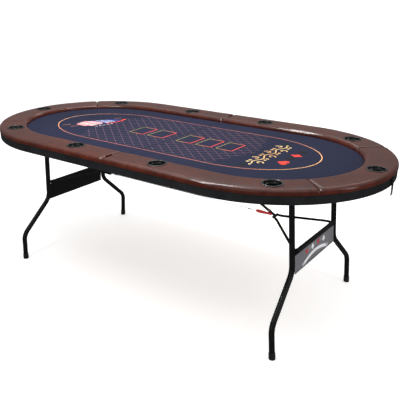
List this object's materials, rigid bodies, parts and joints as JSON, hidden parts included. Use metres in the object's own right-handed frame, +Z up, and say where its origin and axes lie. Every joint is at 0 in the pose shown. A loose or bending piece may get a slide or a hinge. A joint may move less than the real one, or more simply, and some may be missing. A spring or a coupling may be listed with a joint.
{
  "type": "folding poker table",
  "caption": "Oval folding poker table: padded rail with recessed drink holders, felt top with card marks, bent tube leg frames with folding braces.",
  "frame": {"origin": "on the floor under the middle of the top", "axes": "+Z up, +X along the table's length towards the end with the hanging latch, Y across the table"},
  "size_m": [2.1452, 1.067, 0.7623],
  "materials": {
    "board_left": "raw fibreboard, matt",
    "felt_left": "dark navy speed cloth, matt",
    "apron_left": "black edge band, satin",
    "rail_left_front": "dark brown leatherette, satin",
    "rail_left_end": "dark brown leatherette, satin",
    "rail_left_rear": "dark brown leatherette, satin",
    "cup_left_end": "black, satin",
    "cup_left_front_corner": "black, satin",
    "cup_left_rear_corner": "black, satin",
    "cup_left_front": "black, satin",
    "cup_left_rear": "black, satin",
    "leg_bracket_left_front": "black powder coat, satin",
    "leg_bracket_left_rear": "black powder coat, satin",
    "link_bracket_left": "black powder coat, satin",
    "hinge_left_front": "bright plated",
    "hinge_left_rear": "bright plated",
    "latch_catch": "bright plated",
    "board_right": "raw fibreboard, matt",
    "felt_right": "dark navy speed cloth, matt",
    "apron_right": "black edge band, satin",
    "rail_right_front": "dark brown leatherette, satin",
    "rail_right_end": "dark brown leatherette, satin",
    "rail_right_rear": "dark brown leatherette, satin",
    "cup_right_end": "black, satin",
    "cup_right_front_corner": "black, satin",
    "cup_right_rear_corner": "black, satin",
    "cup_right_front": "black, satin",
    "cup_right_rear": "black, satin",
    "leg_bracket_right_front": "black powder coat, satin",
    "leg_bracket_right_rear": "black powder coat, satin",
    "link_bracket_right": "black powder coat, satin",
    "hinge_right_front": "bright plated",
    "hinge_right_rear": "bright plated",
    "latch_plate": "bright plated",
    "leg_left_front": "black powder coat, satin",
    "leg_left_rear": "black powder coat, satin",
    "cross_tube_left": "black powder coat, satin",
    "leg_panel_left": "grey print on black",
    "foot_left_front": "black, matt",
    "foot_left_rear": "black, matt",
    "strut_left_front": "black powder coat, satin",
    "strut_left_rear": "black powder coat, satin",
    "link_left": "black powder coat, satin",
    "lock_ring_left": "bright plated",
    "cable_hook_left": "red",
    "tie_cable_left": "bright plated",
    "leg_right_front": "black powder coat, satin",
    "leg_right_rear": "black powder coat, satin",
    "cross_tube_right": "black powder coat, satin",
    "leg_panel_right": "grey print on black",
    "foot_right_front": "black, matt",
    "foot_right_rear": "black, matt",
    "strut_right_front": "black powder coat, satin",
    "strut_right_rear": "black powder coat, satin",
    "link_right": "black powder coat, satin",
    "lock_ring_right": "bright plated",
    "cable_hook_right": "red",
    "tie_cable_right": "bright plated",
    "latch_hasp": "bright plated"
  },
  "bodies": {
    "left_half": {"board_left": "board_left", "felt_left": "felt_left", "apron_left": "apron_left", "rail_left_front": "rail_left_front", "rail_left_end": "rail_left_end", "rail_left_rear": "rail_left_rear", "cup_left_end": "cup_left_end", "cup_left_front_corner": "cup_left_front_corner", "cup_left_rear_corner": "cup_left_rear_corner", "cup_left_front": "cup_left_front", "cup_left_rear": "cup_left_rear", "leg_bracket_left_front": "leg_bracket_left_front", "leg_bracket_left_rear": "leg_bracket_left_rear", "link_bracket_left": "link_bracket_left", "hinge_left_front": "hinge_left_front", "hinge_left_rear": "hinge_left_rear", "latch_catch": "latch_catch"},
    "right_half": {"board_right": "board_right", "felt_right": "felt_right", "apron_right": "apron_right", "rail_right_front": "rail_right_front", "rail_right_end": "rail_right_end", "rail_right_rear": "rail_right_rear", "cup_right_end": "cup_right_end", "cup_right_front_corner": "cup_right_front_corner", "cup_right_rear_corner": "cup_right_rear_corner", "cup_right_front": "cup_right_front", "cup_right_rear": "cup_right_rear", "leg_bracket_right_front": "leg_bracket_right_front", "leg_bracket_right_rear": "leg_bracket_right_rear", "link_bracket_right": "link_bracket_right", "hinge_right_front": "hinge_right_front", "hinge_right_rear": "hinge_right_rear", "latch_plate": "latch_plate"},
    "left_legs": {"leg_left_front": "leg_left_front", "leg_left_rear": "leg_left_rear", "cross_tube_left": "cross_tube_left", "leg_panel_left": "leg_panel_left", "foot_left_front": "foot_left_front", "foot_left_rear": "foot_left_rear"},
    "left_struts": {"strut_left_front": "strut_left_front", "strut_left_rear": "strut_left_rear"},
    "left_link": {"link_left": "link_left"},
    "left_lock_ring": {"lock_ring_left": "lock_ring_left"},
    "left_tie": {"cable_hook_left": "cable_hook_left", "tie_cable_left": "tie_cable_left"},
    "right_legs": {"leg_right_front": "leg_right_front", "leg_right_rear": "leg_right_rear", "cross_tube_right": "cross_tube_right", "leg_panel_right": "leg_panel_right", "foot_right_front": "foot_right_front", "foot_right_rear": "foot_right_rear"},
    "right_struts": {"strut_right_front": "strut_right_front", "strut_right_rear": "strut_right_rear"},
    "right_link": {"link_right": "link_right"},
    "right_lock_ring": {"lock_ring_right": "lock_ring_right"},
    "right_tie": {"cable_hook_right": "cable_hook_right", "tie_cable_right": "tie_cable_right"},
    "latch_hasp": {"latch_hasp": "latch_hasp"}
  },
  "joints": [
    {"name": "table_fold", "type": "hinge", "parent": "left_half", "child": "right_half", "pos_m": [0, 0, 0.7601], "axis": [0, -1, 0], "range_deg": [0, 180]},
    {"name": "left_legs_fold", "type": "hinge", "parent": "left_half", "child": "left_legs", "pos_m": [-0.7375, 0, 0.7145], "axis": [0, -1, 0], "range_deg": [0, 94]},
    {"name": "left_struts_fold", "type": "hinge", "parent": "left_legs", "child": "left_struts", "pos_m": [-0.7654, 0, 0.40173], "axis": [0, -1, 0], "range_deg": [0, 73]},
    {"name": "left_link_fold", "type": "hinge", "parent": "left_half", "child": "left_link", "pos_m": [-0.0575, 0, 0.7235], "axis": [0, 1, 0], "range_deg": [0, 28.2]},
    {"name": "left_tie_swing", "type": "hinge", "parent": "left_link", "child": "left_tie", "pos_m": [-0.5443, -0.0094, 0.457], "axis": [0, -1, 0], "range_deg": [0, 28.2]},
    {"name": "left_lock_ring_slide", "type": "slide", "parent": "left_link", "child": "left_lock_ring", "axis": [0.8793, 0, 0.4762], "range_m": [0, 0.03]},
    {"name": "right_legs_fold", "type": "hinge", "parent": "right_half", "child": "right_legs", "pos_m": [0.7375, 0, 0.7145], "axis": [0, 1, 0], "range_deg": [0, 94]},
    {"name": "right_struts_fold", "type": "hinge", "parent": "right_legs", "child": "right_struts", "pos_m": [0.7654, 0, 0.40173], "axis": [0, 1, 0], "range_deg": [0, 73]},
    {"name": "right_link_fold", "type": "hinge", "parent": "right_half", "child": "right_link", "pos_m": [0.0575, 0, 0.7235], "axis": [0, -1, 0], "range_deg": [0, 28.2]},
    {"name": "right_tie_swing", "type": "hinge", "parent": "right_link", "child": "right_tie", "pos_m": [0.5443, -0.0094, 0.457], "axis": [0, 1, 0], "range_deg": [0, 28.2]},
    {"name": "right_lock_ring_slide", "type": "slide", "parent": "right_link", "child": "right_lock_ring", "axis": [-0.8793, 0, 0.4762], "range_m": [0, 0.03]},
    {"name": "latch_swing", "type": "hinge", "parent": "right_half", "child": "latch_hasp", "pos_m": [1.07, 0, 0.7305], "axis": [0, -1, 0], "range_deg": [0, 180]}
  ],
  "couplings": [
    {"joint": "left_struts_fold", "follows": "left_legs_fold", "ratio": 0.7725},
    {"joint": "left_link_fold", "follows": "left_legs_fold", "ratio": 0.29882},
    {"joint": "left_tie_swing", "follows": "left_legs_fold", "ratio": 0.29882},
    {"joint": "right_struts_fold", "follows": "right_legs_fold", "ratio": 0.7725},
    {"joint": "right_link_fold", "follows": "right_legs_fold", "ratio": 0.29882},
    {"joint": "right_tie_swing", "follows": "right_legs_fold", "ratio": 0.29882}
  ]
}
